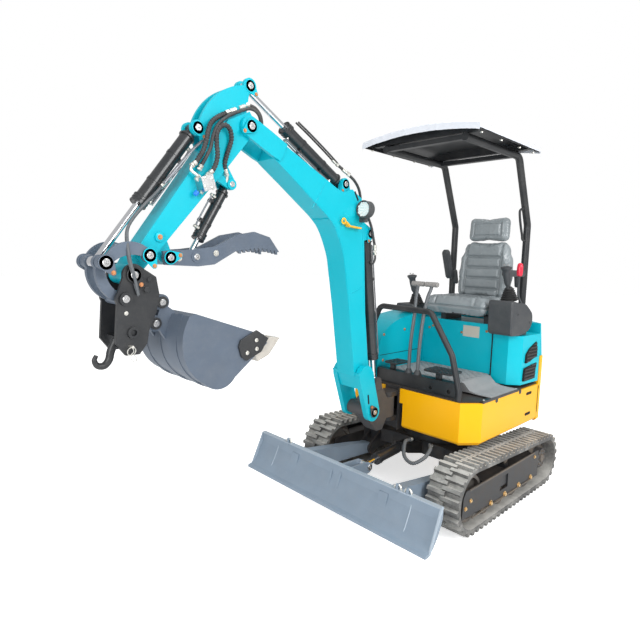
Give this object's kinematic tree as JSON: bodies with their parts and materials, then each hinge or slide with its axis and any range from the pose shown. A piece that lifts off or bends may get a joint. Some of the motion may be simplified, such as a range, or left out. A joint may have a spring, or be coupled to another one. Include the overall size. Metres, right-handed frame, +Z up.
{
  "type": "mini excavator",
  "caption": "Compact tracked excavator with canopy, swing boom, front blade, quick hitch, bucket and hydraulic thumb",
  "frame": {"origin": "on the ground at the middle of the overall length, in the centre plane; the slewing axis is behind it", "axes": "+X forward to the blade, +Y to the left of the machine, +Z up"},
  "size_m": [3.185, 1.37, 2.3879],
  "materials": {
    "track_rubber": "matt, dusty",
    "wheel_iron": "rough",
    "charcoal_paint": "satin",
    "black_paint": "satin",
    "machined_steel": "satin",
    "slate_paint": "satin",
    "chrome_rod": "polished",
    "yellow_paint": "gloss",
    "teal_paint": "gloss",
    "dark_teal_paint": "gloss",
    "dark_plastic": "matt",
    "seat_fabric": "woven",
    "grey_paint": "satin"
  },
  "bodies": {
    "undercarriage": {"track_left": "track_rubber", "track_right": "track_rubber", "track_wheels": "wheel_iron", "track_frames": "charcoal_paint", "travel_motors": "charcoal_paint", "undercarriage_frame": "black_paint", "slew_ring": "machined_steel"},
    "blade": {"blade": "slate_paint"},
    "blade_barrel": {"blade_barrel": "black_paint"},
    "blade_rod": {"blade_rod": "chrome_rod"},
    "upper": {"upper_frame": "black_paint", "side_skirts": "yellow_paint", "counterweight": "yellow_paint", "rear_hood": "teal_paint", "right_hood": "teal_paint", "seat_base": "dark_teal_paint", "left_cover": "dark_teal_paint", "engine_block": "wheel_iron", "floor": "black_paint", "pedals_and_levers": "black_paint", "consoles": "dark_plastic", "joysticks": "dark_plastic", "seat_rails": "black_paint", "seat_cushion": "seat_fabric", "seat_back": "seat_fabric", "armrests": "dark_plastic", "canopy_frame": "black_paint", "canopy_roof": "black_paint", "guard_rail": "black_paint"},
    "swing_post": {"swing_post": "charcoal_paint"},
    "swing_barrel": {"swing_barrel": "black_paint"},
    "swing_rod": {"swing_rod": "chrome_rod"},
    "boom": {"boom": "teal_paint", "work_lamp": "dark_plastic"},
    "boom_barrel": {"boom_barrel": "black_paint"},
    "boom_rod": {"boom_rod": "chrome_rod"},
    "arm_barrel": {"arm_barrel": "black_paint"},
    "arm_rod": {"arm_rod": "chrome_rod"},
    "arm": {"arm": "teal_paint", "valve_block": "machined_steel"},
    "bucket_barrel": {"bucket_barrel": "black_paint"},
    "bucket_rod": {"bucket_rod": "chrome_rod"},
    "rocker": {"rocker_links": "grey_paint"},
    "link": {"connecting_link": "grey_paint"},
    "bucket": {"quick_hitch": "black_paint", "bucket": "slate_paint"},
    "thumb": {"thumb": "slate_paint"},
    "thumb_barrel": {"thumb_barrel": "black_paint"},
    "thumb_rod": {"thumb_rod": "chrome_rod"}
  },
  "joints": [
    {"name": "slew", "type": "hinge", "parent": "undercarriage", "child": "upper", "pos_m": [-0.8725, 0, 0.394], "axis": [0, 0, 1], "continuous": true},
    {"name": "boom_swing", "type": "hinge", "parent": "upper", "child": "swing_post", "pos_m": [-0.3605, -0.09, 0.58], "axis": [0, 0, 1], "range_deg": [-70, 50]},
    {"name": "boom", "type": "hinge", "parent": "swing_post", "child": "boom", "pos_m": [-0.0845, -0.09, 0.612], "axis": [0, 1, 0], "range_deg": [-8, 85]},
    {"name": "arm", "type": "hinge", "parent": "boom", "child": "arm", "pos_m": [0.8775, -0.09, 2.135], "axis": [0, 1, 0], "range_deg": [-55, 32]},
    {"name": "bucket", "type": "hinge", "parent": "arm", "child": "bucket", "pos_m": [1.4425, -0.09, 1.451], "axis": [0, -1, 0], "range_deg": [-25, 125]},
    {"name": "thumb", "type": "hinge", "parent": "arm", "child": "thumb", "pos_m": [1.2805, -0.09, 1.523], "axis": [0, -1, 0], "range_deg": [-8, 38]},
    {"name": "blade", "type": "hinge", "parent": "undercarriage", "child": "blade", "pos_m": [-0.4925, 0, 0.19], "axis": [0, 1, 0], "range_deg": [-8, 21]},
    {"name": "boom_barrel_pivot", "type": "hinge", "parent": "boom", "child": "boom_barrel", "pos_m": [-0.0585, -0.09, 1.698], "axis": [0, -1, 0], "range_deg": [-3.46, 1.68]},
    {"name": "boom_rod_slide", "type": "slide", "parent": "boom_barrel", "child": "boom_rod", "axis": [-0.1563, 0, -0.9877], "range_m": [-0.035, 0.2756]},
    {"name": "arm_barrel_pivot", "type": "hinge", "parent": "boom", "child": "arm_barrel", "pos_m": [0.1805, -0.09, 1.962], "axis": [0, -1, 0], "range_deg": [-3.16, 4.36]},
    {"name": "arm_rod_slide", "type": "slide", "parent": "arm_barrel", "child": "arm_rod", "axis": [0.8803, 0, 0.4745], "range_m": [-0.1798, 0.1088]},
    {"name": "bucket_barrel_pivot", "type": "hinge", "parent": "arm", "child": "bucket_barrel", "pos_m": [1.1365, -0.09, 2.084], "axis": [0, -1, 0], "range_deg": [-2.59, 6.94]},
    {"name": "bucket_rod_slide", "type": "slide", "parent": "bucket_barrel", "child": "bucket_rod", "axis": [0.588, 0, -0.8089], "range_m": [-0.2092, 0.0498]},
    {"name": "rocker_pivot", "type": "hinge", "parent": "arm", "child": "rocker", "pos_m": [1.3875, -0.09, 1.53], "axis": [0, -1, 0], "range_deg": [-16.1, 74.49]},
    {"name": "link_pivot", "type": "hinge", "parent": "bucket", "child": "link", "pos_m": [1.4765, -0.09, 1.357], "axis": [0, -1, 0], "range_deg": [-75.9, 16.38]},
    {"name": "thumb_barrel_pivot", "type": "hinge", "parent": "arm", "child": "thumb_barrel", "pos_m": [0.9545, -0.09, 1.866], "axis": [0, -1, 0], "range_deg": [-4.71, 2.18]},
    {"name": "thumb_rod_slide", "type": "slide", "parent": "thumb_barrel", "child": "thumb_rod", "axis": [0.5047, 0, -0.8633], "range_m": [-0.0267, 0.0891]},
    {"name": "blade_barrel_pivot", "type": "hinge", "parent": "undercarriage", "child": "blade_barrel", "pos_m": [-0.4115, 0, 0.312], "axis": [0, -1, 0], "range_deg": [-25.36, 10.59]},
    {"name": "blade_rod_slide", "type": "slide", "parent": "blade_barrel", "child": "blade_rod", "axis": [0.9968, 0, -0.0804], "range_m": [-0.0287, 0.059]},
    {"name": "swing_barrel_pivot", "type": "hinge", "parent": "upper", "child": "swing_barrel", "pos_m": [-0.8125, -0.3, 0.572], "axis": [0, 0, 1], "range_deg": [-3.29, 4]},
    {"name": "swing_rod_slide", "type": "slide", "parent": "swing_barrel", "child": "swing_rod", "axis": [0.9855, 0.1694, 0], "range_m": [-0.1357, 0.0998]}
  ],
  "couplings": [
    {"joint": "boom_barrel_pivot", "follows": "boom", "ratio": -0.0231},
    {"joint": "boom_rod_slide", "follows": "boom", "m_per_rad": 0.17906},
    {"joint": "arm_barrel_pivot", "follows": "arm", "ratio": -0.05195},
    {"joint": "arm_rod_slide", "follows": "arm", "m_per_rad": 0.17692},
    {"joint": "bucket_barrel_pivot", "follows": "bucket", "ratio": 0.04352},
    {"joint": "bucket_rod_slide", "follows": "bucket", "m_per_rad": -0.091286},
    {"joint": "rocker_pivot", "follows": "bucket", "ratio": 0.58393},
    {"joint": "link_pivot", "follows": "bucket", "ratio": -0.59523},
    {"joint": "thumb_barrel_pivot", "follows": "thumb", "ratio": -0.08452},
    {"joint": "thumb_rod_slide", "follows": "thumb", "m_per_rad": 0.11926},
    {"joint": "blade_barrel_pivot", "follows": "blade", "ratio": -1.1361},
    {"joint": "blade_rod_slide", "follows": "blade", "m_per_rad": 0.13368},
    {"joint": "swing_barrel_pivot", "follows": "boom_swing", "ratio": -0.03576},
    {"joint": "swing_rod_slide", "follows": "boom_swing", "m_per_rad": 0.1029}
  ]
}
